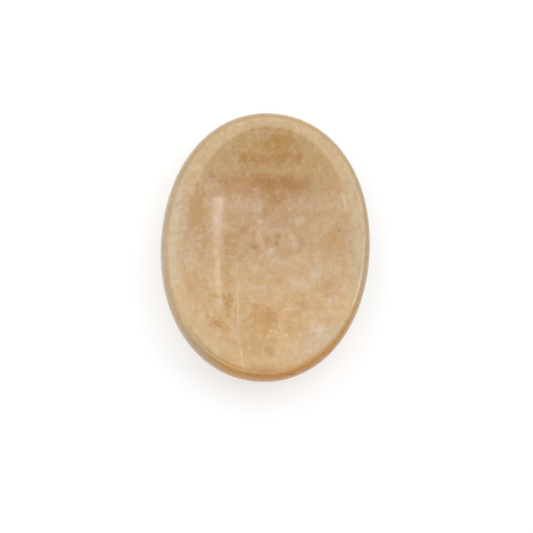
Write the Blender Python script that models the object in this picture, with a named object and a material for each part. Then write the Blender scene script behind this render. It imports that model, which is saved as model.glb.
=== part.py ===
"""Palm stone: one polished oval of translucent quartz with a broad thumb hollow in its upper face.

The stone lies on its back. Its origin is the middle of the small flat spot that it rests on, +Z is up,
+Y runs along its length and the hollow opens upwards. Everything is in metres.
"""

import math

import bmesh
import bpy

MM = 0.001

# The outline, seen from above, at the stone's widest level
LENGTH = 45.3 * MM
WIDTH = 35.0 * MM
SQUARENESS = 2.094  # 2 is a true ellipse; a little more fills out its four shoulders
GRINDING = ((3, 0.0015, 2.94), (5, 0.0024, 0.34))  # waves round the edge, their depth and phase

# Heights above the surface that the stone rests on
THICKNESS = 9.0 * MM
WIDEST_LEVEL = 6.0 * MM

# The flat spot in the middle of the domed back
FOOT_LENGTH = 14.0 * MM
FOOT_WIDTH = 10.0 * MM
DOME_FULLNESS = 2.4  # how far out the back stays nearly flat before it curls up

# The shoulder, from the widest level up to the rim
SHOULDER_REACH = 1.4 * MM
SHOULDER_FULLNESS = 2.1
BEVEL_WIDTH = 0.22 * MM  # the narrow flat that the wheel left where shoulder and rim meet
BEVEL_DROP = 0.05 * MM

# The rim's crest and the hollow inside it
HOLLOW_LENGTH = 39.4 * MM
HOLLOW_WIDTH = 28.4 * MM
HOLLOW_DEPTH = 2.8 * MM
HOLLOW_FULLNESS = 2.1
RIM_FALL = 0.05 * MM  # the crest leans in by this much on its way to the hollow
LIP_SOFTNESS = 0.1 * MM  # how far the polish has rounded the edge between rim and hollow

# How finely the surface is faceted
POINTS_ROUND = 96
DOME_RINGS = 11
SHOULDER_RINGS = 9
RIM_RINGS = 3
LIP_STEPS = (0.992, 0.978, 0.96, 0.93)
HOLLOW_RINGS = 9

STONE_COLOUR = (0.58, 0.37, 0.21, 1.0)
STONE_ROUGHNESS = 0.16


def mix(low, high, share):
    """The value this share of the way from low to high."""
    return low + (high - low) * share


def outline_reach(angle):
    """How far the oval reaches at this angle when its half-axes are 1: a superellipse with waves from grinding."""
    across = abs(math.cos(angle)) ** SQUARENESS
    along = abs(math.sin(angle)) ** SQUARENESS
    waves = sum(depth * math.cos(count * angle + phase) for count, depth, phase in GRINDING)
    return (across + along) ** (-1.0 / SQUARENESS) * (1.0 + waves)


def ring_points(half_width, half_length, height):
    """The points of one level ring of the stone."""
    points = []
    for step in range(POINTS_ROUND):
        angle = math.tau * step / POINTS_ROUND
        reach = outline_reach(angle)
        x = half_width * reach * math.cos(angle)
        y = half_length * reach * math.sin(angle)
        points.append((x, y, height))
    return points


def hollow_height(share_out):
    """Height of the hollow's own curve at this share of the way from its middle to its lip, or beyond the lip."""
    lip_height = THICKNESS - RIM_FALL
    return lip_height - HOLLOW_DEPTH * (1.0 - share_out**HOLLOW_FULLNESS)


def softly_lower(first, second):
    """The lower of two heights, rounded over where they cross."""
    return (first + second - math.hypot(first - second, LIP_SOFTNESS)) / 2.0


def dome_rings():
    """Rings of the back, from the edge of the flat spot up to the widest level."""
    for step in range(DOME_RINGS + 1):
        share = math.sin(math.pi / 2 * step / DOME_RINGS)
        height = WIDEST_LEVEL * (1.0 - math.sqrt(max(0.0, 1.0 - share**DOME_FULLNESS)))
        half_width = mix(FOOT_WIDTH, WIDTH, share) / 2
        half_length = mix(FOOT_LENGTH, LENGTH, share) / 2
        yield half_width, half_length, height


def shoulder_rings():
    """Rings from just above the widest level, over the shoulder and its bevel, to the rim."""
    rise = THICKNESS - BEVEL_DROP - WIDEST_LEVEL
    for step in range(1, SHOULDER_RINGS + 1):
        turn = math.pi / 2 * step / SHOULDER_RINGS
        inset = SHOULDER_REACH * (1.0 - math.cos(turn) ** (2.0 / SHOULDER_FULLNESS))
        height = WIDEST_LEVEL + rise * math.sin(turn) ** (2.0 / SHOULDER_FULLNESS)
        yield WIDTH / 2 - inset, LENGTH / 2 - inset, height
    inset = SHOULDER_REACH + BEVEL_WIDTH
    yield WIDTH / 2 - inset, LENGTH / 2 - inset, THICKNESS


def rim_rings():
    """Rings across the rim's crest to the lip of the hollow."""
    inset = SHOULDER_REACH + BEVEL_WIDTH
    for step in range(1, RIM_RINGS + 1):
        share = step / RIM_RINGS
        half_width = mix(WIDTH / 2 - inset, HOLLOW_WIDTH / 2, share)
        half_length = mix(LENGTH / 2 - inset, HOLLOW_LENGTH / 2, share)
        crest_height = THICKNESS - RIM_FALL * share**2
        share_out = half_width / (HOLLOW_WIDTH / 2)
        yield half_width, half_length, softly_lower(crest_height, hollow_height(share_out))


def hollow_rings():
    """Rings from the lip down towards the middle of the hollow."""
    last_lip = LIP_STEPS[-1]
    shares = LIP_STEPS + tuple(last_lip * (1.0 - step / HOLLOW_RINGS) for step in range(1, HOLLOW_RINGS))
    for share in shares:
        height = softly_lower(THICKNESS - RIM_FALL, hollow_height(share))
        yield HOLLOW_WIDTH / 2 * share, HOLLOW_LENGTH / 2 * share, height


def add_ring(mesh, points):
    """Adds the points to the mesh as one closed ring and returns its vertices and its edges."""
    vertices = [mesh.verts.new(point) for point in points]
    edges = [mesh.edges.new((vertices[k - 1], vertices[k])) for k in range(len(vertices))]
    return vertices, edges


def stone_mesh():
    """The whole surface: flat spot, domed back, shoulder, rim and hollow."""
    mesh = bmesh.new()
    levels = [*dome_rings(), *shoulder_rings(), *rim_rings(), *hollow_rings()]
    rings = [add_ring(mesh, ring_points(*level)) for level in levels]
    for (_, lower_edges), (_, upper_edges) in zip(rings, rings[1:]):
        bmesh.ops.bridge_loops(mesh, edges=lower_edges + upper_edges)

    mesh.faces.new(rings[0][0])
    floor = mesh.faces.new(rings[-1][0])
    poked = bmesh.ops.poke(mesh, faces=[floor])
    poked["verts"][0].co.z = softly_lower(THICKNESS - RIM_FALL, hollow_height(0.0))

    bmesh.ops.recalc_face_normals(mesh, faces=mesh.faces)
    data = bpy.data.meshes.new("palm_stone")
    mesh.to_mesh(data)
    mesh.free()
    return data


def stone_material():
    """Polished peach quartz."""
    material = bpy.data.materials.new("polished_quartz")
    material.use_nodes = True
    shader = material.node_tree.nodes["Principled BSDF"]
    shader.inputs["Base Color"].default_value = STONE_COLOUR
    shader.inputs["Roughness"].default_value = STONE_ROUGHNESS
    shader.inputs["Metallic"].default_value = 0.0
    return material


def main():
    """Clears the scene and makes the stone."""
    for old in list(bpy.data.objects):
        bpy.data.objects.remove(old)
    data = stone_mesh()
    data.shade_smooth()
    data.materials.append(stone_material())
    bpy.context.scene.collection.objects.link(bpy.data.objects.new("palm_stone", data))


main()
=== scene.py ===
"""Palm stone: an oval of peach quartz, polished by hand, with a broad thumb hollow in its upper face.

The stone is modelled ring by ring. Its widest outline is drawn as a curve, and the shoulder, rim, hollow and
back are extruded from that outline. Everything is in metres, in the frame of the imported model: the stone rests
on its flat spot at the origin, +Z is up and +Y runs along its length.
"""

import logging
import math
from dataclasses import dataclass, field
from enum import Enum
from typing import Iterator

import bmesh
import bpy
from mathutils import Euler, Matrix, Vector


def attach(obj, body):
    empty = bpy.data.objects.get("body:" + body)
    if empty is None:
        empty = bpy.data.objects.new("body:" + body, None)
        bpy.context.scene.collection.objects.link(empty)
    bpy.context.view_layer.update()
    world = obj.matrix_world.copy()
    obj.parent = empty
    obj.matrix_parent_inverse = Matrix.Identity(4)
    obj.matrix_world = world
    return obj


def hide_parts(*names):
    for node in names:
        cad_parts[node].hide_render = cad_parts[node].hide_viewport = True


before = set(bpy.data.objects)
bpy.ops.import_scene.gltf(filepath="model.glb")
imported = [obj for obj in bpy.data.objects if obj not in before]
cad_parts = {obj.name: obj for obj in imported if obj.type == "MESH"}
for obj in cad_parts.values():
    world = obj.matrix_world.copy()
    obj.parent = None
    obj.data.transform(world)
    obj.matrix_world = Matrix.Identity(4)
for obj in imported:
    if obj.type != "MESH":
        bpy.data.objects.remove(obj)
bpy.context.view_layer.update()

LOG = logging.getLogger("palm_stone")
MM = 0.001
LEVEL_SLACK = 0.001 * MM
NODE = "palm_stone"


def linear(hex_colour: str, alpha: float = 1.0) -> tuple[float, float, float, float]:
    """Turns an sRGB hex colour into the linear values that shaders and lights take.

    Args:
        hex_colour: Six hex digits, such as "c8a680".
        alpha: The fourth value.

    Returns:
        Linear red, green and blue, and alpha.
    """
    shares = (int(hex_colour[k : k + 2], 16) / 255 for k in (0, 2, 4))
    red, green, blue = (s / 12.92 if s <= 0.04045 else ((s + 0.055) / 1.055) ** 2.4 for s in shares)
    return red, green, blue, alpha


def add_node(
    tree: bpy.types.NodeTree,
    kind: str,
    settings: dict[str, object] | None = None,
    links: dict[str, bpy.types.NodeSocket] | None = None,
) -> bpy.types.Node:
    """Adds one node with its settings and its incoming links.

    Args:
        tree: The node tree to add to.
        kind: The node's type name.
        settings: Values by input identifier or, where there is no such input, by the node's own property.
        links: The output that feeds each input, by the input's identifier.

    Returns:
        The new node.
    """
    node = tree.nodes.new(kind)
    own_first = sorted((settings or {}).items(), key=lambda item: item[0][0].isupper())
    for name, value in own_first:
        sockets = [socket for socket in node.inputs if socket.identifier == name]
        if sockets:
            sockets[0].default_value = value
        else:
            setattr(node, name, value)
    for name, source in (links or {}).items():
        target = next(socket for socket in node.inputs if socket.identifier == name)
        tree.links.new(source, target)
    return node


def outlet(node: bpy.types.Node, identifier: str) -> bpy.types.NodeSocket:
    """Finds a node's output by its identifier, where several outputs share a name."""
    return next(socket for socket in node.outputs if socket.identifier == identifier)


def only(piece: bpy.types.Object) -> None:
    """Makes this piece the only one selected, and the active one."""
    bpy.ops.object.select_all(action="DESELECT")
    piece.select_set(True)
    bpy.context.view_layer.objects.active = piece


class Way(Enum):
    """The direction in which a run of rings is extruded from the widest outline."""

    UP = "over the shoulder and rim into the hollow"
    DOWN = "round the back to the flat spot"


@dataclass(frozen=True)
class Ring:
    """One level ring of the stone: its half sizes and its height."""

    half_width: float
    half_length: float
    height: float


@dataclass(frozen=True)
class StoneForm:
    """The sizes that a lapidary would give the stone, and the rings that follow from them."""

    length: float = 45.3 * MM
    width: float = 35.0 * MM
    thickness: float = 9.0 * MM
    widest_level: float = 6.0 * MM
    corner_handle: float = 0.582  # 0.552 gives a true ellipse, and more fills out its four shoulders

    foot_length: float = 14.0 * MM
    foot_width: float = 10.0 * MM
    dome_fullness: float = 2.4

    shoulder_reach: float = 1.4 * MM
    shoulder_fullness: float = 2.1
    bevel_width: float = 0.22 * MM
    bevel_drop: float = 0.05 * MM

    hollow_length: float = 39.4 * MM
    hollow_width: float = 28.4 * MM
    hollow_depth: float = 2.8 * MM
    hollow_fullness: float = 2.1
    rim_fall: float = 0.05 * MM
    lip_softness: float = 0.07 * MM

    points_a_quarter: int = 24
    dome_rings: int = 11
    shoulder_rings: int = 9
    rim_rings: int = 4
    lip_steps: tuple[float, ...] = (0.992, 0.978, 0.96, 0.93)
    hollow_rings: int = 12

    def widest(self) -> Ring:
        """The ring that the whole stone is extruded from."""
        return Ring(self.width / 2, self.length / 2, self.widest_level)

    def surface_height(self, share_out: float, share_in: float = 1.0) -> float:
        """Gives the height where rim and hollow meet in a softly polished lip.

        Args:
            share_out: How far out in the hollow the point is, 1 at its lip.
            share_in: How far in across the rim it is, 1 at the lip and inside it.

        Returns:
            The lower of rim and hollow, rounded over where they cross.
        """
        crest = self.thickness - self.rim_fall * share_in**2
        bowl = self.thickness - self.rim_fall - self.hollow_depth * (1.0 - share_out**self.hollow_fullness)
        return (crest + bowl - math.hypot(crest - bowl, self.lip_softness)) / 2.0

    def height_at(self, across: float, along: float) -> float:
        """Gives the height of the upper face at a place on it.

        Args:
            across: The distance from the middle across the stone.
            along: The distance from the middle along it.

        Returns:
            The height above the resting surface.
        """
        return self.surface_height(2.0 * math.hypot(across / self.hollow_width, along / self.hollow_length))

    def upward(self) -> Iterator[Ring]:
        """Yields the rings of the shoulder, the rim and the hollow, from the outside in."""
        rise = self.thickness - self.bevel_drop - self.widest_level
        for step in range(1, self.shoulder_rings + 1):
            turn = math.pi / 2 * step / self.shoulder_rings
            inset = self.shoulder_reach * (1.0 - math.cos(turn) ** (2.0 / self.shoulder_fullness))
            height = self.widest_level + rise * math.sin(turn) ** (2.0 / self.shoulder_fullness)
            yield Ring(self.width / 2 - inset, self.length / 2 - inset, height)
        crest = Ring(
            self.width / 2 - self.shoulder_reach - self.bevel_width,
            self.length / 2 - self.shoulder_reach - self.bevel_width,
            self.thickness,
        )
        yield crest

        for step in range(1, self.rim_rings + 1):
            share = step / self.rim_rings
            half_width = self.mixed(crest.half_width, self.hollow_width / 2, share)
            half_length = self.mixed(crest.half_length, self.hollow_length / 2, share)
            share_out = half_width / (self.hollow_width / 2)
            yield Ring(half_width, half_length, self.surface_height(share_out, share))

        innermost = self.lip_steps[-1]
        steps_in = (innermost * (1.0 - step / self.hollow_rings) for step in range(1, self.hollow_rings))
        for share in (*self.lip_steps, *steps_in):
            half_width = self.hollow_width / 2 * share
            half_length = self.hollow_length / 2 * share
            yield Ring(half_width, half_length, self.surface_height(share))

    def downward(self) -> Iterator[Ring]:
        """Yields the rings of the back, from just below the widest outline down to the flat spot."""
        for step in range(self.dome_rings - 1, -1, -1):
            share = math.sin(math.pi / 2 * step / self.dome_rings)
            height = self.widest_level * (1.0 - math.sqrt(max(0.0, 1.0 - share**self.dome_fullness)))
            half_width = self.mixed(self.foot_width, self.width, share) / 2
            half_length = self.mixed(self.foot_length, self.length, share) / 2
            yield Ring(half_width, half_length, height)

    @staticmethod
    def mixed(low: float, high: float, share: float) -> float:
        """The value this share of the way from low to high."""
        return low + (high - low) * share


class Tint(Enum):
    """The tones that the marks share: milky and clear quartz, and what iron stained."""

    LIGHT_CREAM = "dbbd91"  # the thin shoulder, lit through
    WHITE_MILK = "cabea7"  # milky quartz at its whitest
    MILK = "c5b297"  # milky quartz
    CREAM = "cdb084"  # healed cracks and warm milk
    SAND = "c6a878"  # pale tan quartz
    GREY_SAND = "bca584"  # thin milk over tan
    HONEY = "be9862"  # warm tan quartz
    PEACH_BROWN = "ae8455"  # a faint rust veil
    AMBER = "b38746"  # iron stain, thin
    RUSSET = "b1804b"  # rust among milky grains
    RUST = "b37f2e"  # iron stain, strong
    BROWN = "a87a3c"  # brown grains
    OCHRE = "aa781e"  # iron ochre
    DEEP_BROWN = "935e1d"  # the heart of a brown grain
    PIT_BROWN = "6d401f"  # dirt in a pit


@dataclass(frozen=True)
class Inclusion:
    """One cloud, stain, spot or healed crack in the quartz.

    It shows where an upright ellipsoid with a soft edge meets the surface. Its place is in millimetres from
    the stone's middle, across and along it, and its size is the half size across and along. The turn is
    counter-clockwise, seen from above. The grain tells how much the quartz's grains break up its edge, and a
    straight mark, such as a crack, isn't bent by them.
    """

    name: str
    place: tuple[float, float]
    size: tuple[float, float]
    tint: Tint
    strength: float
    turn_deg: float = 0.0
    softness: float = 0.8
    grain: float = 1.2
    straight: bool = False


CLOUDS = (
    Inclusion("tan far wall", (0.7, 15.2), (11.00, 4.54), Tint.SAND, 0.85, 0, 1.5, 0.4),
    Inclusion("pale right rim", (15.0, 1.0), (1.50, 11.76), Tint.GREY_SAND, 0.60, 6, 1.5, 1.0),
    Inclusion("pale left rim", (-16.0, 1.8), (1.33, 9.24), Tint.MILK, 0.55, -2, 1.5, 1.2),
    Inclusion(
        "pale shoulder at the near left", (-13.9, -12.1), (1.00, 6.39), Tint.LIGHT_CREAM, 0.70, 26, 1.5, 0.8
    ),
    Inclusion(
        "pale shoulder at the near right", (14.5, -10.2), (0.83, 5.04), Tint.CREAM, 0.50, -18, 1.5, 0.8
    ),
    Inclusion("golden near rim", (-0.9, -18.5), (5.67, 1.01), Tint.HONEY, 0.60, 8, 1.5, 1.0),
    Inclusion("tan right wall", (11.8, 1.8), (2.17, 5.38), Tint.AMBER, 0.55, 2, 1.5, 1.4),
    Inclusion("tan left wall", (-12.3, -8.6), (2.00, 4.37), Tint.HONEY, 0.50, 18, 1.5, 1.6),
    Inclusion("brown patch", (-0.2, 10.6), (9.33, 2.18), Tint.RUSSET, 0.70, 0, 1.8, 2.4),
    Inclusion("lilac cloud", (0.8, 3.2), (10.00, 6.05), Tint.PEACH_BROWN, 0.50, 4, 1.5, 1.2),
    Inclusion("olive tan left of the amber wedge", (-7.8, 13.6), (2.50, 2.18), Tint.SAND, 0.50, 34, 1.5, 0.6),
    Inclusion(
        "olive tan right of the amber wedge", (8.3, 13.6), (4.17, 2.35), Tint.SAND, 0.55, -34, 1.5, 0.6
    ),
    Inclusion("amber wedge under the far lip", (-0.5, 17.7), (4.00, 1.85), Tint.AMBER, 0.90, 2, 1.5, 1.0),
    # Painted highlight: the next two marks lay the pale light along the near right lip into the colour
    Inclusion(
        "milk along the near right rim", (10.0, -16.1), (4.33, 1.18), Tint.WHITE_MILK, 0.42, 44, 1.8, 2.0
    ),
    Inclusion(
        "pale zone on the near right rim", (8.3, -16.0), (5.33, 1.85), Tint.GREY_SAND, 0.60, 30, 1.2, 1.2
    ),
)

INCLUSIONS = (
    Inclusion("near part of the pale left rim", (-15.7, -5.5), (1.00, 3.70), Tint.MILK, 0.50, 12, 1.5, 1.2),
    Inclusion("orange stain", (0.4, -12.3), (2.17, 2.02), Tint.RUST, 0.70, 4, 1.5, 1.8),
    Inclusion("second orange stain", (-0.5, -16.6), (2.33, 1.34), Tint.AMBER, 0.55, -4, 1.5, 1.8),
    Inclusion("rust grains under the wedge", (0.1, 14.6), (5.17, 1.34), Tint.RUSSET, 0.60, 4, 1.8, 2.0),
    Inclusion("rust spot 1", (-4.6, 14.3), (0.58, 0.59), Tint.RUST, 0.72, 4, 1.8, 2.2),
    Inclusion("rust spot 2", (-3.1, 14.7), (0.83, 1.34), Tint.RUSSET, 0.60, 24, 1.8, 2.2),
    Inclusion("rust spot 3", (-1.0, 13.9), (0.83, 0.50), Tint.RUSSET, 0.40, 4, 1.8, 2.2),
    Inclusion("rust spot 4", (1.6, 15.1), (1.00, 0.67), Tint.RUSSET, 0.45, 14, 1.8, 2.2),
    Inclusion("rust spot 5", (4.3, 14.9), (0.83, 0.84), Tint.RUSSET, 0.42, 4, 1.8, 2.2),
    Inclusion("pale cloud line", (1.8, 12.9), (4.50, 0.50), Tint.SAND, 0.50, 2, 1.8, 2.2),
    Inclusion("dark core 1", (-1.6, 11.0), (1.17, 0.84), Tint.RUSSET, 0.75, 4, 1.5, 1.8),
    Inclusion("dark core 2", (-0.2, 10.1), (0.83, 1.51), Tint.BROWN, 0.85, 4, 1.5, 1.8),
    Inclusion("dark core 3", (2.5, 10.8), (1.50, 1.01), Tint.PEACH_BROWN, 0.85, -1, 1.5, 1.8),
    Inclusion("dark core 4", (4.5, 10.2), (1.00, 0.84), Tint.PEACH_BROWN, 0.80, 4, 1.5, 1.8),
    Inclusion("left half of the patch", (-5.0, 9.2), (3.17, 1.51), Tint.RUSSET, 0.60, 2, 1.8, 2.0),
    Inclusion("dark core 5", (-7.1, 9.4), (0.67, 0.67), Tint.RUSSET, 0.70, 4, 1.8, 2.0),
    Inclusion("dark core 6", (-4.9, 10.0), (1.00, 0.59), Tint.HONEY, 0.60, 4, 1.8, 2.0),
    Inclusion("dark core 7", (7.3, 10.8), (1.00, 0.67), Tint.GREY_SAND, 0.50, 4, 1.8, 2.4),
    Inclusion("tail of the patch", (0.4, 7.5), (1.00, 1.18), Tint.BROWN, 0.85, 4, 1.5, 1.8),
    Inclusion("tail to its right", (2.0, 8.3), (1.00, 0.67), Tint.BROWN, 0.80, 24, 1.5, 1.8),
    Inclusion("end of the tail", (-0.5, 5.8), (0.50, 0.84), Tint.BROWN, 0.80, -11, 1.5, 1.5),
    Inclusion("white grains under the patch", (-5.0, 8.9), (1.50, 0.42), Tint.PEACH_BROWN, 0.25, 4, 1.8, 2.4),
    Inclusion("rust stain by the left rim", (-11.6, 4.2), (1.67, 3.03), Tint.RUST, 0.65, 6, 1.5, 1.6),
    Inclusion("its lower end", (-10.1, -0.1), (0.83, 1.68), Tint.RUST, 0.65, -8, 1.5, 1.6),
    Inclusion("milk 1", (-4.8, 6.4), (1.00, 1.01), Tint.HONEY, 0.34, 4, 1.8, 2.4),
    Inclusion("milk 2", (-1.9, 6.7), (1.33, 1.18), Tint.MILK, 0.46, 4, 1.5, 1.9),
    Inclusion("milk 3", (-1.1, 4.1), (0.50, 0.50), Tint.MILK, 0.53, 4, 1.5, 1.4),
    Inclusion("milk 4", (5.5, 7.4), (1.50, 1.01), Tint.GREY_SAND, 0.46, 14, 1.8, 2.2),
    Inclusion("milk 5", (5.1, 4.7), (1.00, 0.67), Tint.MILK, 0.46, 4, 1.8, 2.2),
    Inclusion("milk 6", (1.7, 2.8), (1.50, 0.50), Tint.GREY_SAND, 0.46, 9, 1.8, 2.2),
    Inclusion("milk 7", (-1.1, 1.4), (0.50, 1.34), Tint.CREAM, 0.46, 24, 1.5, 1.6),
    Inclusion("milk 8", (4.6, 1.3), (0.58, 1.18), Tint.MILK, 0.46, 24, 1.5, 1.6),
    Inclusion("milk 9", (0.9, -1.0), (0.67, 0.84), Tint.MILK, 0.58, 39, 1.5, 1.4),
    Inclusion("milk 10", (2.5, -2.4), (1.33, 0.67), Tint.MILK, 0.46, 9, 1.8, 2.2),
    Inclusion("milk 11", (8.2, -4.3), (1.00, 1.68), Tint.MILK, 0.58, -21, 1.8, 2.0),
    Inclusion("milk 12", (5.7, -6.0), (1.17, 1.01), Tint.MILK, 0.50, 4, 1.8, 2.0),
    Inclusion("milk 13", (8.9, -1.7), (0.67, 1.85), Tint.GREY_SAND, 0.38, -8, 1.8, 2.2),
    Inclusion("milk 14", (9.4, -13.6), (1.17, 0.84), Tint.WHITE_MILK, 0.58, 4, 1.5, 1.6),
    Inclusion("milk 15", (4.8, -16.2), (1.67, 0.50), Tint.CREAM, 0.50, 4, 1.8, 2.0),
    Inclusion("milk 16", (8.0, -10.6), (0.67, 0.50), Tint.WHITE_MILK, 0.50, 4, 1.5, 1.9),
    Inclusion("milk 17", (11.9, -10.8), (1.00, 0.50), Tint.MILK, 0.46, 4, 1.5, 1.9),
    Inclusion("milk 20", (7.2, 9.3), (1.33, 0.84), Tint.GREY_SAND, 0.45, 4, 1.8, 2.0),
    Inclusion("milk 21", (11.6, -3.3), (0.83, 1.34), Tint.MILK, 0.45, 4, 1.8, 2.0),
    Inclusion("pale gap in the amber wedge", (-2.7, 15.7), (0.83, 0.67), Tint.CREAM, 0.45, 4, 1.8, 2.0),
    Inclusion("milk 18", (-12.8, -3.5), (1.00, 1.34), Tint.WHITE_MILK, 0.38, 4, 1.8, 2.4),
    Inclusion("milk 19", (-1.4, -7.8), (2.67, 1.01), Tint.GREY_SAND, 0.35, 4, 1.8, 2.4),
    Inclusion("brown grain 1", (-4.0, 2.1), (0.83, 0.84), Tint.BROWN, 0.59, 4, 1.8, 2.0),
    Inclusion("brown grain 2", (-2.1, -0.3), (0.75, 0.59), Tint.DEEP_BROWN, 0.66, -6, 1.5, 1.0),
    Inclusion("brown grain 3", (-6.2, 0.0), (1.00, 1.51), Tint.OCHRE, 0.54, 4, 1.8, 2.0),
    Inclusion("brown grain 4", (1.8, 0.7), (0.33, 0.34), Tint.DEEP_BROWN, 0.72, 4, 1.5, 0.8),
    Inclusion("brown grain 5", (1.9, 1.8), (0.50, 0.42), Tint.DEEP_BROWN, 0.50, 4, 1.5, 0.8),
    Inclusion("brown grain 6", (0.1, 1.1), (0.67, 0.50), Tint.BROWN, 0.59, 4, 1.5, 1.6),
    Inclusion("brown grain 7", (3.3, -0.7), (1.00, 0.67), Tint.PEACH_BROWN, 0.54, 4, 1.8, 2.2),
    Inclusion("brown grain 8", (6.0, 0.8), (0.67, 1.01), Tint.BROWN, 0.54, 4, 1.8, 2.2),
    Inclusion("amber 1", (-6.2, -4.9), (0.67, 1.51), Tint.AMBER, 0.59, 4, 1.8, 2.4),
    Inclusion("amber 2", (-6.0, -10.1), (0.67, 1.51), Tint.OCHRE, 0.83, 12, 1.8, 2.0),
    Inclusion("amber 3", (-9.2, -12.7), (0.50, 0.50), Tint.OCHRE, 0.60, 4, 1.5, 1.6),
    Inclusion("amber 4", (-7.6, -13.5), (1.00, 0.67), Tint.OCHRE, 0.74, 24, 1.8, 2.2),
    Inclusion("amber 5", (-8.3, -9.5), (0.50, 0.50), Tint.OCHRE, 0.55, 4, 1.8, 2.0),
    Inclusion("amber 6", (10.6, -6.2), (0.83, 1.51), Tint.AMBER, 0.63, 4, 1.8, 2.4),
    Inclusion("amber 7", (6.8, -9.6), (1.00, 1.51), Tint.AMBER, 0.59, 4, 1.8, 2.4),
    Inclusion("amber 8", (-13.6, -8.9), (0.67, 1.18), Tint.SAND, 0.59, 19, 1.8, 2.2),
    Inclusion("olive grain", (11.1, 2.1), (0.42, 0.67), Tint.OCHRE, 0.50, 4, 1.5, 1.6),
    Inclusion("pit", (11.8, 3.3), (0.20, 0.13), Tint.PIT_BROWN, 0.75, -16, 0.8, 0.4, True),
    Inclusion(
        "pink by the branch of the crack", (-5.9, -14.4), (1.00, 1.01), Tint.RUST, 0.55, 4, 0.9, 1.6, True
    ),
    Inclusion("darker part of the stain", (1.3, -12.0), (0.67, 1.01), Tint.BROWN, 0.50, 4, 1.5, 1.6),
    Inclusion("amber corner of it", (1.2, -17.7), (0.67, 0.67), Tint.OCHRE, 0.68, 4, 1.5, 1.8),
    Inclusion("rust on the near rim", (0.5, -20.6), (2.50, 0.84), Tint.BROWN, 0.55, 4, 1.5, 1.6),
    Inclusion("yellow foot of the crack", (-2.9, -18.5), (0.50, 1.01), Tint.HONEY, 0.30, 9, 1.5, 1.0, True),
    Inclusion("pale line across the near rim", (0.3, -19.4), (2.83, 0.30), Tint.SAND, 0.50, 5, 1.5, 1.6),
    Inclusion("healed crack", (-4.1, -10.8), (0.15, 5.21), Tint.CREAM, 0.55, 5, 0.9, 0.5, True),
    Inclusion("healed crack, near end", (-3.1, -18.9), (0.17, 3.19), Tint.CREAM, 0.60, 13, 0.9, 0.7, True),
    Inclusion("branch of the crack", (-4.7, -14.6), (0.15, 1.68), Tint.CREAM, 0.65, 36, 0.9, 0.7, True),
    Inclusion("hairline", (-0.9, -10.0), (2.50, 0.13), Tint.BROWN, 0.50, -5, 0.9, 0.8, True),
    Inclusion("nick 1", (-2.7, -21.5), (0.13, 0.67), Tint.PEACH_BROWN, 0.28, 6, 0.8, 0.8, True),
    Inclusion("nick 2", (-2.1, -21.1), (0.12, 0.67), Tint.HONEY, 0.25, 6, 0.8, 0.8, True),
    Inclusion("nick 3", (5.2, -21.2), (1.00, 0.15), Tint.PIT_BROWN, 0.42, 12, 0.8, 0.8, True),
    # Painted highlight: a reflection on the far rim's crest, laid on as a pale mark
    Inclusion("pale seam on the far rim", (-5.7, 19.8), (1.17, 0.27), Tint.MILK, 0.50, 18, 1.0, 0.8, True),
)


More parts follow.
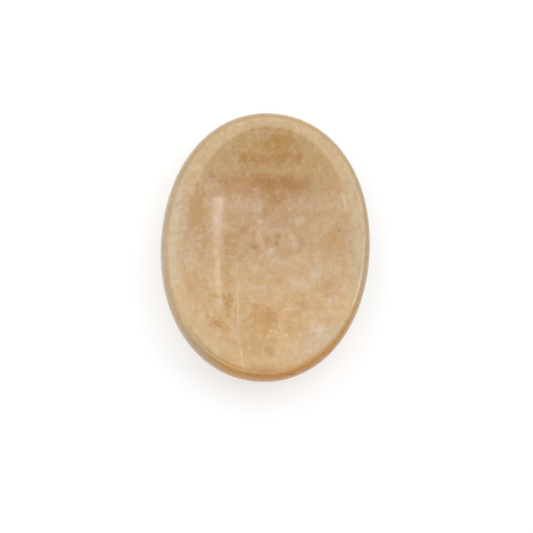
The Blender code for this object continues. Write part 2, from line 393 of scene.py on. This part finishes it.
@dataclass(frozen=True)
class PolishedQuartz:
    """Peach quartz, cut and tumbled to a gloss.

    It is a translucent, cloudy stone, so light goes a little way in before it comes back. The polish leaves a
    clear, low mirror on it, and iron stains it amber in patches.
    """

    middle: str = "bb976b"
    near_half: str = "c39c61"
    rim: str = "c1a97c"
    near_rim: str = "cd9f61"
    # Painted shade: the outer shoulder darkened all round, where its side turns away from the light, and darker
    # amber at the near end
    edge_shade: str = "b2966f"
    near_end_shade: str = "cb892b"
    milk: str = "cdb698"
    rust: str = "ae7f4a"
    fleck_pale: str = "d2ba9a"
    fleck_brown: str = "a67a4a"
    ior: float = 1.544
    roughness: float = 0.1
    translucency: float = 0.25
    depth_of_light: float = 0.5 * MM
    depth_by_colour: tuple[float, float, float] = (0.8, 0.6, 0.45)
    cloud_size: float = 3.2 * MM
    patch_size: float = 2.4 * MM
    fleck_size: float = 0.5 * MM
    fleck_stretch: float = 1.6
    grain_size: float = 0.8 * MM
    crystal_size: float = 0.55 * MM  # finer in a real stone, and drawn as coarse as it needs to be to show
    crystal_tone: float = 0.04
    grain_tone: float = 0.05
    push: float = 1.7 * MM
    push_size: float = 2.2 * MM
    mark_depth: float = 2.5 * MM
    mark_reach: float = 2.5
    golden_from: float = 4.0 * MM
    golden_reach: float = 16.0 * MM
    near_end_from: float = -12.0 * MM
    near_end_reach: float = 9.0 * MM
    near_end_turn_deg: float = -65.0
    rim_band: tuple[float, float, float] = (0.12, 0.24, 0.7)
    # Painted shade on the outer shoulder: where it is full, where it ends and how strong it is
    painted_shade_band: tuple[float, float, float] = (0.0, 0.078, 0.85)

    def build(
        self, clouds: tuple[Inclusion, ...], inclusions: tuple[Inclusion, ...], form: StoneForm
    ) -> bpy.types.Material:
        """Builds the stone's material.

        Args:
            clouds: The broad marks, which the finest flecks lie over.
            inclusions: The small marks over the flecks, each laid over the one before.
            form: The sizes of the stone.

        Returns:
            The finished material.
        """
        # Quartz tumbled with ever finer grit: a low, clear mirror over a cloudy depth, so lights show on it as
        # crisp pale lines while the stains below them have soft edges
        material = bpy.data.materials.new("tumbled_peach_quartz")
        material.use_nodes = True
        tree = material.node_tree
        tree.nodes.clear()
        place = add_node(tree, "ShaderNodeTexCoord").outputs["Object"]
        noise = add_node(
            tree,
            "ShaderNodeTexNoise",
            {"Scale": 1.0 / self.grain_size, "Detail": 4.0, "Roughness": 0.7},
            {"Vector": place},
        )
        grain = add_node(
            tree, "ShaderNodeMapRange", {"From Min": 0.3, "From Max": 0.7}, {"Value": noise.outputs["Fac"]}
        ).outputs["Result"]
        colour = self._body(tree, place)
        colour = self._band(tree, colour, place, form, self.rim_band, self.rim, self.near_rim)
        pushed = self._pushed(tree, place)
        for cloud in clouds:
            colour = self._mark(tree, colour, pushed, grain, cloud, form)
        flecks = (
            (self.fleck_size * 2.4, 0.46, 0.7, 0.3, self.fleck_pale),
            (self.fleck_size * 2.0, 0.46, 0.7, 0.26, self.fleck_brown),
            (self.fleck_size, 0.54, 0.72, 0.16, self.fleck_pale),
        )
        stretch = (1.0, 1.0 / self.fleck_stretch, 1.0)
        drawn_out = add_node(tree, "ShaderNodeMapping", {"Scale": stretch}, {"Vector": place})
        colour = self._clouded(tree, colour, drawn_out.outputs["Vector"], flecks)
        # Painted shade along the outer shoulder, darkest and amber at the near end
        colour = self._band(tree, colour, place, form, self.painted_shade_band, self.edge_shade, self.near_end_shade)
        for inclusion in inclusions:
            colour = self._mark(tree, colour, place if inclusion.straight else pushed, grain, inclusion, form)
        colour = self._crystals(tree, colour, place, grain)
        shader = add_node(
            tree,
            "ShaderNodeBsdfPrincipled",
            {
                "Roughness": self.roughness,
                "IOR": self.ior,
                "Subsurface Weight": self.translucency,
                "Subsurface Radius": self.depth_by_colour,
                "Subsurface Scale": self.depth_of_light,
            },
            {"Base Color": colour},
        )
        add_node(tree, "ShaderNodeOutputMaterial", links={"Surface": shader.outputs["BSDF"]})
        return material

    def _pushed(self, tree: bpy.types.NodeTree, place: bpy.types.NodeSocket) -> bpy.types.NodeSocket:
        """Pushes places about a little, so that the marks don't keep the outlines of ellipses.

        Args:
            tree: The material's nodes.
            place: Where on the stone a point is.

        Returns:
            The disturbed place.
        """
        noise = add_node(
            tree,
            "ShaderNodeTexNoise",
            {"Scale": 1.0 / self.push_size, "Detail": 4.0, "Roughness": 0.6},
            {"Vector": place},
        )
        moved = add_node(
            tree,
            "ShaderNodeVectorMath",
            {"operation": "MULTIPLY_ADD", "Vector_001": (self.push,) * 3},
            {"Vector": noise.outputs["Color"], "Vector_002": place},
        )
        centred = add_node(
            tree,
            "ShaderNodeMapping",
            {"Location": (-self.push / 2,) * 3},
            {"Vector": moved.outputs["Vector"]},
        )
        return centred.outputs["Vector"]

    def _body(self, tree: bpy.types.NodeTree, place: bpy.types.NodeSocket) -> bpy.types.NodeSocket:
        """Mixes the quartz's own colour: golden in its near half, with clouds and stains all through.

        Args:
            tree: The material's nodes.
            place: Where on the stone a point is.

        Returns:
            The colour before any bands or marks.
        """
        start = Vector((0.0, self.golden_from, 0.0))
        golden = self._fade(tree, place, "EASING", start, -90.0, Vector((self.golden_reach, 1.0, 1.0)))
        body = add_node(
            tree,
            "ShaderNodeMix",
            {"data_type": "RGBA", "A_Color": linear(self.middle), "B_Color": linear(self.near_half)},
            {"Factor_Float": golden},
        )
        layers = (
            (self.cloud_size, 0.5, 0.78, 0.6, self.milk),
            (self.patch_size, 0.5, 0.78, 0.5, self.rust),
            (self.cloud_size / 3, 0.5, 0.68, 0.5, self.milk),
            (self.patch_size / 3, 0.5, 0.68, 0.5, self.rust),
        )
        return self._clouded(tree, outlet(body, "Result_Color"), place, layers)

    def _band(
        self,
        tree: bpy.types.NodeTree,
        under: bpy.types.NodeSocket,
        place: bpy.types.NodeSocket,
        form: StoneForm,
        reach: tuple[float, float, float],
        far_colour: str,
        near_colour: str,
    ) -> bpy.types.NodeSocket:
        """Lays a band of colour along the stone's edge, warmer at its near end; the outermost band is painted
        shade.

        Args:
            tree: The material's nodes.
            under: The colour so far.
            place: Where on the stone a point is.
            form: The sizes of the stone.
            reach: How far in the band is full, how far in it ends and how strong it is.
            far_colour: Its colour along most of the edge.
            near_colour: Its colour at the near end.

        Returns:
            The colour with the band on it.
        """
        outer, inner, share = reach
        start = Vector((0.0, self.near_end_from, 0.0))
        reach_near = Vector((self.near_end_reach, 1.0, 1.0))
        near_end = self._fade(tree, place, "EASING", start, self.near_end_turn_deg, reach_near)
        colour = add_node(
            tree,
            "ShaderNodeMix",
            {"data_type": "RGBA", "A_Color": linear(far_colour), "B_Color": linear(near_colour)},
            {"Factor_Float": near_end},
        )
        oval = Vector((form.width / 2, form.length / 2, 1.0))
        inward = self._fade(tree, place, "SPHERICAL", Vector(), 0.0, oval)
        band = add_node(
            tree,
            "ShaderNodeMapRange",
            {"From Min": inner, "From Max": outer, "To Max": share, "interpolation_type": "SMOOTHSTEP"},
            {"Value": inward},
        )
        banded = add_node(
            tree,
            "ShaderNodeMix",
            {"data_type": "RGBA"},
            {
                "Factor_Float": band.outputs["Result"],
                "A_Color": under,
                "B_Color": outlet(colour, "Result_Color"),
            },
        )
        return outlet(banded, "Result_Color")

    def _mark(
        self,
        tree: bpy.types.NodeTree,
        under: bpy.types.NodeSocket,
        place: bpy.types.NodeSocket,
        grain: bpy.types.NodeSocket,
        inclusion: Inclusion,
        form: StoneForm,
    ) -> bpy.types.NodeSocket:
        """Lays one inclusion over the colour so far.

        Args:
            tree: The material's nodes.
            under: The colour so far.
            place: Where on the stone a point is.
            grain: The noise that breaks up the inclusion's edge.
            inclusion: The mark.
            form: The sizes of the stone.

        Returns:
            The colour with the mark on it.
        """
        across, along = (value * MM for value in inclusion.place)
        half_across, half_along = (value * MM for value in inclusion.size)
        centre = Vector((across, along, form.height_at(across, along)))
        size = Vector((half_across, half_along, self.mark_depth)) * self.mark_reach
        inward = self._fade(tree, place, "SPHERICAL", centre, inclusion.turn_deg, size)
        broken = add_node(
            tree,
            "ShaderNodeMath",
            {"operation": "MULTIPLY_ADD", "Value_001": inclusion.grain / self.mark_reach},
            {"Value": grain, "Value_002": inward},
        )
        edge = self.mark_reach - 1.0 + inclusion.grain / 2
        cover = add_node(
            tree,
            "ShaderNodeMapRange",
            {
                "interpolation_type": "SMOOTHSTEP",
                "From Min": (edge - inclusion.softness / 2) / self.mark_reach,
                "From Max": (edge + inclusion.softness / 2) / self.mark_reach,
                "To Max": inclusion.strength,
            },
            {"Value": broken.outputs["Value"]},
        )
        marked = add_node(
            tree,
            "ShaderNodeMix",
            {"data_type": "RGBA", "B_Color": linear(inclusion.tint.value)},
            {"Factor_Float": cover.outputs["Result"], "A_Color": under},
        )
        return outlet(marked, "Result_Color")

    def _clouded(
        self,
        tree: bpy.types.NodeTree,
        under: bpy.types.NodeSocket,
        place: bpy.types.NodeSocket,
        layers: tuple[tuple[float, float, float, float, str], ...],
    ) -> bpy.types.NodeSocket:
        """Lays clouds of several sizes over a colour.

        Args:
            tree: The material's nodes.
            under: The colour so far.
            place: Where on the stone a point is.
            layers: Each cloud's size, where in its noise it starts and is full, its strength and its colour.

        Returns:
            The clouded colour.
        """
        for size, low, high, share, colour in layers:
            noise = add_node(
                tree,
                "ShaderNodeTexNoise",
                {"Scale": 1.0 / size, "Detail": 3.0, "Roughness": 0.6},
                {"Vector": place},
            )
            cover = add_node(
                tree,
                "ShaderNodeMapRange",
                {"From Min": low, "From Max": high, "To Max": share},
                {"Value": noise.outputs["Fac"]},
            )
            clouded = add_node(
                tree,
                "ShaderNodeMix",
                {"data_type": "RGBA", "B_Color": linear(colour)},
                {"Factor_Float": cover.outputs["Result"], "A_Color": under},
            )
            under = outlet(clouded, "Result_Color")
        return under

    def _crystals(
        self,
        tree: bpy.types.NodeTree,
        under: bpy.types.NodeSocket,
        place: bpy.types.NodeSocket,
        grain: bpy.types.NodeSocket,
    ) -> bpy.types.NodeSocket:
        """Lightens and darkens the colour crystal by crystal.

        Args:
            tree: The material's nodes.
            under: The colour so far.
            place: Where on the stone a point is.
            grain: The finest noise in the quartz.

        Returns:
            The colour with the crystals in it.
        """
        crystals = add_node(tree, "ShaderNodeTexVoronoi", {"Scale": 1.0 / self.crystal_size}, {"Vector": place})
        tone = add_node(tree, "ShaderNodeSeparateColor", links={"Color": crystals.outputs["Color"]})
        for value, spread in ((tone.outputs["Red"], self.crystal_tone), (grain, self.grain_tone)):
            shade = add_node(
                tree,
                "ShaderNodeMapRange",
                {"To Min": 1.0 - spread, "To Max": 1.0 + spread},
                {"Value": value},
            )
            shaded = add_node(
                tree,
                "ShaderNodeMix",
                {"data_type": "RGBA", "blend_type": "MULTIPLY", "Factor_Float": 1.0},
                {"A_Color": under, "B_Color": shade.outputs["Result"]},
            )
            under = outlet(shaded, "Result_Color")
        return under

    @staticmethod
    def _fade(
        tree: bpy.types.NodeTree,
        place: bpy.types.NodeSocket,
        kind: str,
        centre: Vector,
        turn_deg: float,
        size: Vector,
    ) -> bpy.types.NodeSocket:
        """Adds a gradient that starts at a place on the stone.

        Args:
            tree: The material's nodes.
            place: Where on the stone a point is.
            kind: The gradient's kind, such as "SPHERICAL", which falls from 1 in the middle to 0 at its size.
            centre: Its middle or start.
            turn_deg: Its turn, counter-clockwise seen from above.
            size: Its reach each way.

        Returns:
            The gradient's value.
        """
        turned = add_node(
            tree,
            "ShaderNodeMapping",
            {
                "vector_type": "TEXTURE",
                "Location": centre,
                "Rotation": (0.0, 0.0, math.radians(turn_deg)),
                "Scale": size,
            },
            {"Vector": place},
        )
        fade = add_node(
            tree, "ShaderNodeTexGradient", {"gradient_type": kind}, {"Vector": turned.outputs["Vector"]}
        )
        return fade.outputs["Fac"]


@dataclass
class PalmStone:
    """The stone: one closed piece, extruded ring by ring from its widest outline."""

    form: StoneForm = field(default_factory=StoneForm)
    finish: PolishedQuartz = field(default_factory=PolishedQuartz)
    waviness: float = 0.07 * MM
    wave_size: float = 9.0 * MM

    def build(self) -> bpy.types.Object:
        """Models the stone and dresses it.

        Returns:
            The finished piece.
        """
        piece = self._draw_outline()
        self._extrude(piece, Way.UP)
        self._extrude(piece, Way.DOWN)
        self._smooth(piece)
        piece.data.materials.clear()
        piece.data.materials.append(self.finish.build(CLOUDS, INCLUSIONS, self.form))
        return piece

    def _draw_outline(self) -> bpy.types.Object:
        """Draws the widest outline as a four-point curve and turns it into a ring of edges.

        Returns:
            The ring, as a mesh.
        """
        widest = self.form.widest()
        bpy.ops.object.select_all(action="DESELECT")
        bpy.ops.curve.primitive_bezier_circle_add(radius=1.0, location=(0.0, 0.0, 0.0))
        outline = bpy.context.object
        outline.name = "polished_palm_stone"
        spline = outline.data.splines[0]
        spline.resolution_u = self.form.points_a_quarter
        outline.data.resolution_u = self.form.points_a_quarter
        for point in spline.bezier_points:
            point.handle_left_type = point.handle_right_type = "ALIGNED"
            for handle in ("handle_left", "handle_right"):
                reach = (getattr(point, handle) - point.co).normalized() * self.form.corner_handle
                setattr(point, handle, point.co + reach)
        bpy.ops.object.convert(target="MESH")
        piece = bpy.context.object
        bpy.ops.object.mode_set(mode="EDIT")
        bpy.ops.mesh.select_mode(type="VERT")
        bpy.ops.mesh.select_all(action="SELECT")
        bpy.ops.transform.resize(
            value=(widest.half_width, widest.half_length, 1.0), center_override=(0.0, 0.0, 0.0)
        )
        bpy.ops.transform.translate(value=(0.0, 0.0, widest.height))
        bpy.ops.object.mode_set(mode="OBJECT")
        return piece

    def _extrude(self, piece: bpy.types.Object, way: Way) -> None:
        """Extrudes one side of the stone from its widest ring, ring by ring, and closes it.

        Args:
            piece: The stone so far.
            way: Up into the hollow, or down round the back.
        """
        only(piece)
        bpy.ops.object.mode_set(mode="EDIT")
        last = self.form.widest()
        select_between(piece, last.height - LEVEL_SLACK, last.height + LEVEL_SLACK)
        for ring in self.form.upward() if way is Way.UP else self.form.downward():
            bpy.ops.mesh.extrude_region_move()
            bpy.ops.transform.resize(
                value=(ring.half_width / last.half_width, ring.half_length / last.half_length, 1.0),
                center_override=(0.0, 0.0, last.height),
            )
            bpy.ops.transform.translate(value=(0.0, 0.0, ring.height - last.height))
            last = ring
        if way is Way.UP:
            bpy.ops.mesh.extrude_region_move()
            bpy.ops.mesh.merge(type="CENTER")
            floor = self.form.surface_height(0.0)
            bpy.ops.transform.translate(value=(0.0, 0.0, floor - last.height))
        else:
            bpy.ops.mesh.edge_face_add()
            bpy.ops.mesh.poke()
        bpy.ops.object.mode_set(mode="OBJECT")

    def _smooth(self, piece: bpy.types.Object) -> None:
        """Refines the surface and gives it the slight waves that polishing by hand leaves.

        Args:
            piece: The closed stone.
        """
        only(piece)
        bpy.ops.object.mode_set(mode="EDIT")
        bpy.ops.mesh.select_all(action="SELECT")
        bpy.ops.mesh.normals_make_consistent(inside=False)
        bpy.ops.object.mode_set(mode="OBJECT")

        bpy.ops.object.modifier_add(type="SUBSURF")
        refine = piece.modifiers[-1]
        refine.levels = refine.render_levels = 2
        bpy.ops.object.modifier_apply(modifier=refine.name)

        clouds = bpy.data.textures.new("hand_polish", "CLOUDS")
        clouds.noise_scale = self.wave_size
        bpy.ops.object.modifier_add(type="DISPLACE")
        waves = piece.modifiers[-1]
        waves.texture = clouds
        waves.texture_coords = "LOCAL"
        waves.strength = self.waviness
        bpy.ops.object.modifier_apply(modifier=waves.name)

        bpy.ops.object.mode_set(mode="EDIT")
        select_between(piece, -self.waviness, self.waviness)
        bpy.ops.transform.resize(value=(1.0, 1.0, 0.0), center_override=(0.0, 0.0, 0.0))
        bpy.ops.object.mode_set(mode="OBJECT")
        bpy.ops.object.shade_smooth()


def select_between(piece: bpy.types.Object, lowest: float, highest: float) -> None:
    """Selects a piece's vertices between two heights. The piece is in edit mode.

    Args:
        piece: The piece.
        lowest: The height that they are above.
        highest: The height that they are below.
    """
    bpy.ops.mesh.select_all(action="DESELECT")
    mesh = bmesh.from_edit_mesh(piece.data)
    for vertex in mesh.verts:
        vertex.select_set(lowest < vertex.co.z < highest)
    mesh.select_flush(True)
    bmesh.update_edit_mesh(piece.data)


def facing(towards: Vector, up: Vector) -> Euler:
    """Turns a camera or a light to look back along a direction.

    Args:
        towards: The direction from the stone to the camera or light, of length 1.
        up: Roughly the direction of its upper edge.

    Returns:
        The rotation.
    """
    right = up.cross(towards).normalized()
    return Matrix((right, towards.cross(right), towards)).transposed().to_euler()


def tilted(across_deg: float, along_deg: float) -> Vector:
    """Gives the direction that leans off the vertical by these angles.

    Args:
        across_deg: The lean towards +X.
        along_deg: The lean towards +Y.

    Returns:
        The direction, of length 1.
    """
    return Vector((math.tan(math.radians(across_deg)), math.tan(math.radians(along_deg)), 1.0)).normalized()


@dataclass(frozen=True)
class Softbox:
    """A soft light over the stone, given by what the stone sees of it.

    Its middle leans off the vertical by one angle across the stone and by one along it, and it spreads so far
    to either side. Its brightness is that of its face, where lit white paper is 1.
    """

    name: str
    lean_deg: tuple[float, float]
    spread_deg: tuple[float, float]
    brightness: float
    distance: float = 0.5

    def build(self, aim: Vector) -> bpy.types.Object:
        """Places the light.

        Args:
            aim: The point that it looks at.

        Returns:
            The light's object.
        """
        towards = tilted(*self.lean_deg)
        width, height = (2.0 * self.distance * math.tan(math.radians(half)) for half in self.spread_deg)
        turn = facing(towards, Vector((0.0, 1.0, 0.0)))
        bpy.ops.object.light_add(type="AREA", location=aim + towards * self.distance, rotation=turn)
        light = bpy.context.object
        light.name = self.name
        light.data.shape = "RECTANGLE"
        light.data.size = width
        light.data.size_y = height
        light.data.energy = math.pi * width * height * self.brightness
        light.visible_camera = False
        return light


@dataclass(frozen=True)
class WhitePaper:
    """Matt white paper with a glow of its own, as on a light table."""

    colour: str = "b4b4b4"
    roughness: float = 0.9
    glow: float = 0.55

    def build(self) -> bpy.types.Material:
        """Builds the paper's material.

        Returns:
            The finished material.
        """
        # Uncoated paper, pressed and left rough: no mirror at all, only a soft shadow round what lies on it
        material = bpy.data.materials.new("white_paper")
        material.use_nodes = True
        tree = material.node_tree
        tree.nodes.clear()
        shader = add_node(
            tree,
            "ShaderNodeBsdfPrincipled",
            {
                "Base Color": linear(self.colour),
                "Roughness": self.roughness,
                "Emission Color": linear("ffffff"),
                "Emission Strength": self.glow,
            },
        )
        add_node(tree, "ShaderNodeOutputMaterial", links={"Surface": shader.outputs["BSDF"]})
        return material


@dataclass
class Studio:
    """The pale floor, the soft lights and the camera that looks down on the stone."""

    frame_pixels: int = 533
    stone_middle_px: tuple[float, float] = (265.7, 246.7)
    frame_width: float = 88.8 * MM
    lens_mm: float = 135.0
    sensor_mm: float = 36.0
    camera_lean_deg: tuple[float, float] = (-6.0, -9.5)
    stone_leans_deg: float = 3.6
    aim: Vector = field(default_factory=lambda: Vector((0.0, 0.0, 6.0 * MM)))
    tent_near: float = 0.15
    tent_far: float = 0.85
    tent_brightens: tuple[float, float] = (-0.36, 0.12)
    tent_low: float = 0.8
    tent_lowers: tuple[float, float] = (0.7, 0.4)
    lens_opening: float = 0.3
    lens_core: float = 0.4
    lens_light: float = 0.25
    floor_size: float = 2.0
    floor_gap: float = 0.02 * MM
    paper: WhitePaper = field(default_factory=WhitePaper)
    lights: tuple[Softbox, ...] = (
        Softbox("overhead", (6.0, 22.0), (44.0, 25.0), 1.06),
        Softbox("near_fill", (-30.0, -39.0), (48.0, 17.0), 1.2),
        Softbox("strip_right", (29.6, 4.3), (2.4, 2.9), 2.9),
        Softbox("strip_right_soft", (32.0, 6.0), (3.8, 5.2), 0.9),
        Softbox("strip_right_middle", (29.3, 14.0), (1.7, 6.8), 2.1),
        Softbox("strip_right_far", (27.7, 21.8), (1.6, 4.0), 1.7),
        Softbox("strip_left", (-29.3, -0.8), (1.4, 2.4), 5.0),
        Softbox("strip_left_far", (-33.0, 34.0), (3.0, 14.0), 1.5),
    )

    def build(self) -> None:
        """Sets up floor, world, lights and camera."""
        scene = bpy.context.scene
        scene.view_settings.view_transform = "Standard"
        self._floor()
        self._world(scene)
        for light in self.lights:
            light.build(self.aim)
        scene.camera = self._camera()

    def _floor(self) -> None:
        """Lays the plain pale floor."""
        bpy.ops.object.select_all(action="DESELECT")
        bpy.ops.mesh.primitive_plane_add(size=self.floor_size, location=(0.0, 0.0, -self.floor_gap))
        floor = bpy.context.object
        floor.name = "floor"
        bpy.ops.object.transform_apply(location=True, rotation=True, scale=True)
        floor.data.materials.append(self.paper.build())

    def _world(self, scene: bpy.types.Scene) -> None:
        """Surrounds the stone with a pale tent, bright beyond its far end and dim by the camera.

        Args:
            scene: The scene that the tent stands in.
        """
        world = bpy.data.worlds.new("light_tent")
        scene.world = world
        world.use_nodes = True
        tree = world.node_tree
        tree.nodes.clear()
        direction = add_node(tree, "ShaderNodeTexCoord").outputs["Generated"]
        parts = add_node(tree, "ShaderNodeSeparateXYZ", links={"Vector": direction})
        beside_lens = add_node(
            tree,
            "ShaderNodeVectorMath",
            {"operation": "DISTANCE", "Vector_001": tuple(self._towards_camera())},
            {"Vector": direction},
        )
        opening = (self.lens_opening * self.lens_core, self.lens_opening)
        ramps = (
            (parts.outputs["Y"], self.tent_brightens, (self.tent_near, self.tent_far)),
            (beside_lens.outputs["Value"], opening, (self.lens_light, 1.0)),
            (parts.outputs["Z"], self.tent_lowers, (1.0, self.tent_low)),
        )
        shares = []
        for value, (start, end), (first, last) in ramps:
            ramp = add_node(
                tree,
                "ShaderNodeMapRange",
                {
                    "From Min": start,
                    "From Max": end,
                    "To Min": first,
                    "To Max": last,
                    "interpolation_type": "SMOOTHSTEP",
                },
                {"Value": value},
            )
            shares.append(ramp.outputs["Result"])
        brightness = shares[0]
        for share in shares[1:]:
            product = add_node(
                tree, "ShaderNodeMath", {"operation": "MULTIPLY"}, {"Value": brightness, "Value_001": share}
            )
            brightness = product.outputs["Value"]
        tent = add_node(
            tree,
            "ShaderNodeBackground",
            {"Color": linear("ffffff")},
            {"Strength": brightness},
        )
        add_node(tree, "ShaderNodeOutputWorld", links={"Surface": tent.outputs["Background"]})

    def _towards_camera(self) -> Vector:
        """The direction from the stone to the camera."""
        return tilted(*self.camera_lean_deg)

    def _camera(self) -> bpy.types.Object:
        """Places the camera above the stone, with the stone where it lies in the photograph's frame.

        Returns:
            The camera's object.
        """
        towards = self._towards_camera()
        distance = self.frame_width * self.lens_mm / self.sensor_mm
        lean = math.radians(self.stone_leans_deg)
        up = Vector((-math.sin(lean), math.cos(lean), 0.0))
        bpy.ops.object.camera_add(location=self.aim + towards * distance, rotation=facing(towards, up))
        camera = bpy.context.object
        camera.data.lens = self.lens_mm
        camera.data.sensor_width = self.sensor_mm
        middle = self.frame_pixels / 2
        camera.data.shift_x = (middle - self.stone_middle_px[0]) / self.frame_pixels
        camera.data.shift_y = (self.stone_middle_px[1] - middle) / self.frame_pixels
        return camera


def main() -> None:
    """Builds the stone, puts it in the frame and lights it."""
    logging.basicConfig(level=logging.INFO, format="%(name)s: %(message)s")
    stone = PalmStone().build()
    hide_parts(NODE)
    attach(stone, "root")
    LOG.info("%s has %d faces", stone.name, len(stone.data.polygons))
    Studio().build()


if __name__ == "__main__":
    main()
